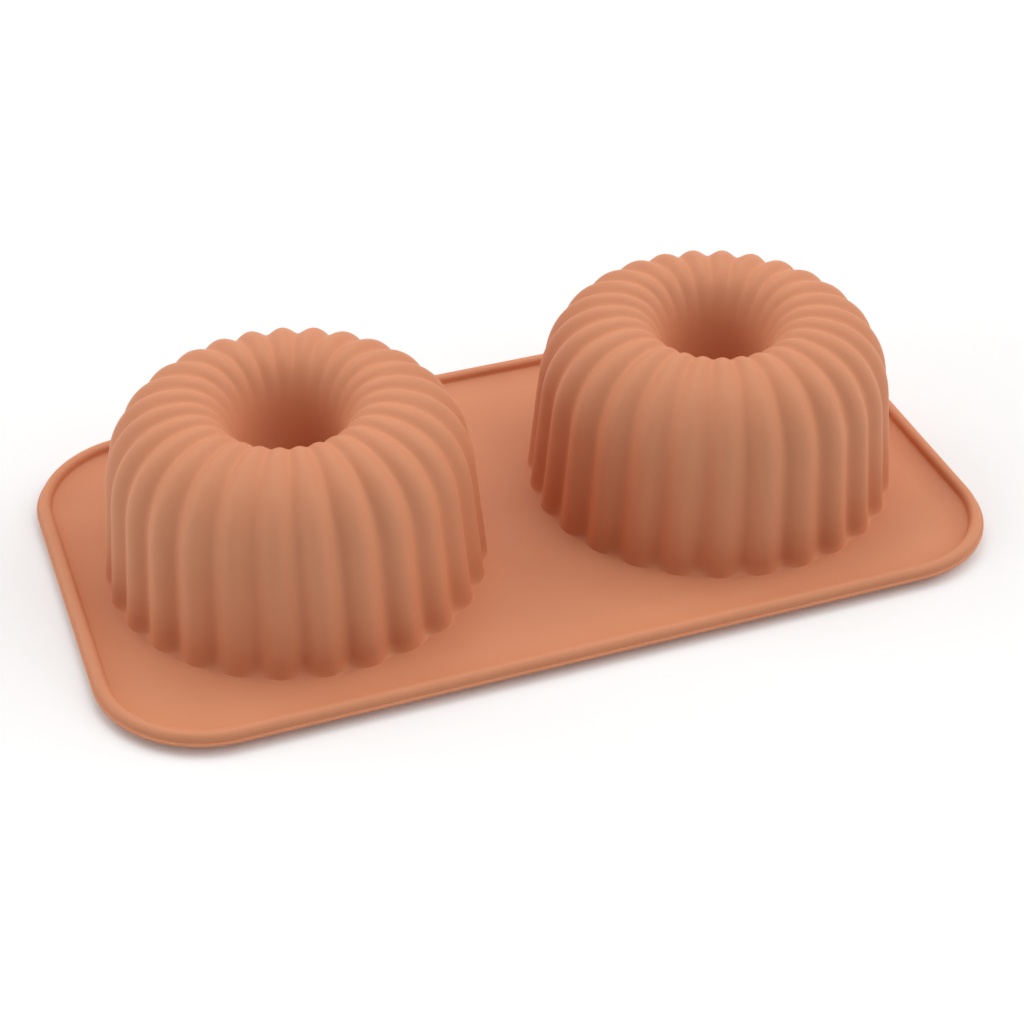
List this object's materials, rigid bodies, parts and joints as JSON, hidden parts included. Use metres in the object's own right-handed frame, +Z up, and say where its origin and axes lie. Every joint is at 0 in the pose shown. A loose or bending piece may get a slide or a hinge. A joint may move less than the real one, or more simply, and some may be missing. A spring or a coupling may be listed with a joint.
{
  "type": "silicone fluted cake mould",
  "caption": "Silicone cake mould: fluted ring cups with hollow cone cores on a flat rounded tray with a raised rim bead, lying crown up on its mouths.",
  "frame": {"origin": "on the bench, under the middle of the tray", "axes": "+X along the tray from the left cup to the right one, +Y from the front long edge to the back one, +Z up from the bench to the crowns"},
  "size_m": [0.2892, 0.1592, 0.0614],
  "materials": {
    "silicone": "satin-matt terracotta silicone"
  },
  "bodies": {
    "root": {"tray_deck": "silicone", "rim_bead": "silicone", "left_cup_wall": "silicone", "left_cup_shoulder": "silicone", "left_cup_crown": "silicone", "left_cup_lip": "silicone", "left_core_funnel": "silicone", "right_cup_wall": "silicone", "right_cup_shoulder": "silicone", "right_cup_crown": "silicone", "right_cup_lip": "silicone", "right_core_funnel": "silicone"}
  },
  "joints": []
}
